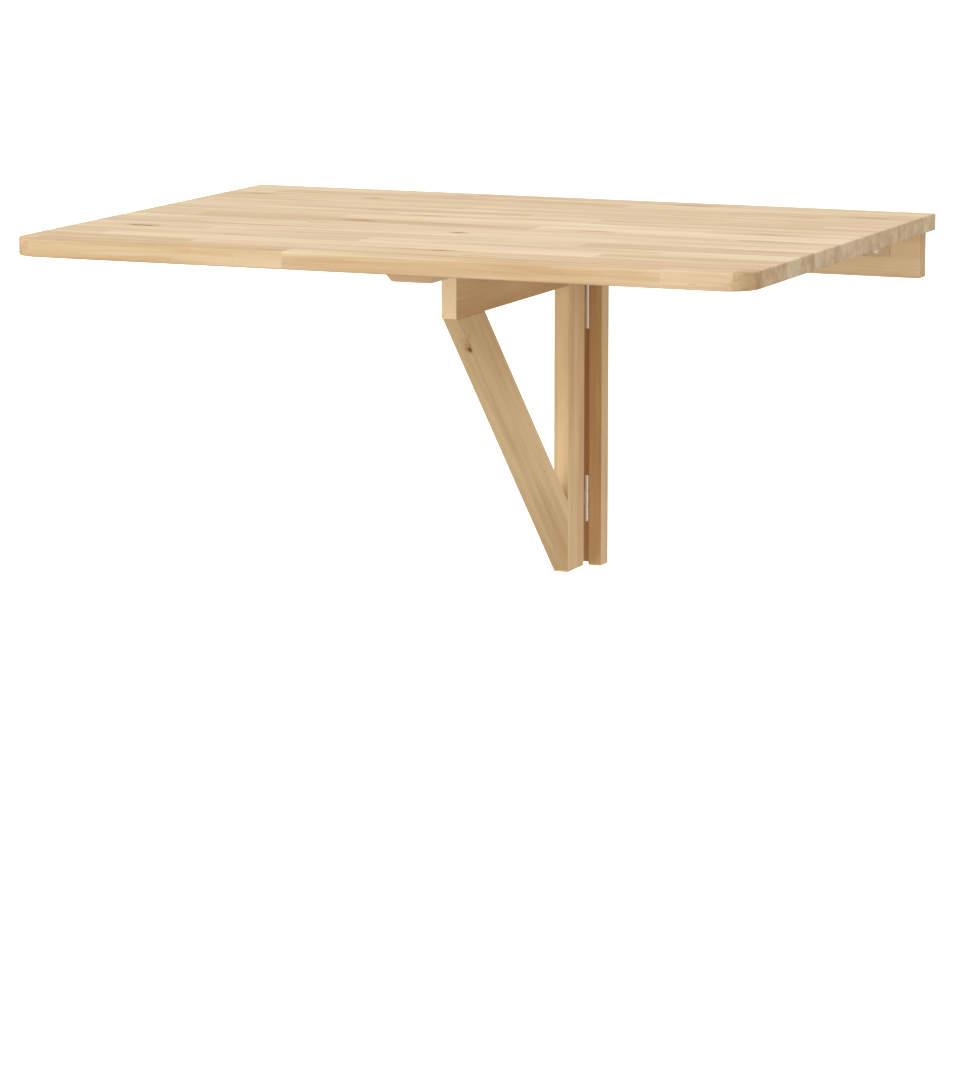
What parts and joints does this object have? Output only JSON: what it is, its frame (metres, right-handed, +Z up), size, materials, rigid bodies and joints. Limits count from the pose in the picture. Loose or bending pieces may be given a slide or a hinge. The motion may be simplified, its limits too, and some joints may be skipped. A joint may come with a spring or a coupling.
{
  "type": "wall mounted drop leaf table",
  "caption": "Rectangular solid birch leaf hinged to wall rails and carried by a triangular wooden bracket that swings flat to the wall so the leaf can drop.",
  "frame": {"origin": "on the wall, halfway between the two outer wall screw holes of the rails", "axes": "+X along the wall to the right, +Y into the wall, +Z up"},
  "size_m": [0.7901, 0.591, 0.402],
  "materials": {
    "birch_panel": "clear matt lacquer on finger jointed birch staves",
    "birch_timber": "clear matt lacquer on solid birch",
    "beech_dowel": "bare beech dowel",
    "zinc_steel": "bright zinc plated steel"
  },
  "bodies": {
    "wall_frame": {"rail_right": "birch_timber", "rail_left": "birch_timber", "wall_strip": "birch_timber", "leaf_hinge_right_fixed_plate": "zinc_steel", "leaf_hinge_right_pin": "zinc_steel", "leaf_hinge_middle_fixed_plate": "zinc_steel", "leaf_hinge_middle_pin": "zinc_steel", "leaf_hinge_left_fixed_plate": "zinc_steel", "leaf_hinge_left_pin": "zinc_steel", "leaf_hinge_rail_screws": "zinc_steel", "bracket_hinge_upper_fixed_plate": "zinc_steel", "bracket_hinge_upper_pin": "zinc_steel", "bracket_hinge_lower_fixed_plate": "zinc_steel", "bracket_hinge_lower_pin": "zinc_steel", "bracket_hinge_strip_screws": "zinc_steel"},
    "leaf": {"leaf_top": "birch_panel", "spacer_block": "birch_timber", "spacer_block_screws": "zinc_steel", "leaf_hinge_right_moving_plate": "zinc_steel", "leaf_hinge_middle_moving_plate": "zinc_steel", "leaf_hinge_left_moving_plate": "zinc_steel", "leaf_hinge_leaf_screws": "zinc_steel"},
    "bracket": {"bracket_post": "birch_timber", "bracket_arm": "birch_timber", "bracket_brace": "birch_timber", "arm_dowels": "beech_dowel", "brace_toe_dowels": "beech_dowel", "brace_heel_dowels": "beech_dowel", "bracket_hinge_upper_moving_plate": "zinc_steel", "bracket_hinge_lower_moving_plate": "zinc_steel", "bracket_hinge_post_screws": "zinc_steel"}
  },
  "joints": [
    {"name": "bracket_swing", "type": "hinge", "parent": "wall_frame", "child": "bracket", "pos_m": [0.06785, -0.0235, -0.1635], "axis": [0, 0, -1], "range_deg": [0, 90]},
    {"name": "leaf_lift", "type": "hinge", "parent": "wall_frame", "child": "leaf", "pos_m": [0.05925, -0.0235, 0.0365], "axis": [-1, 0, 0], "range_deg": [0, 1]}
  ]
}
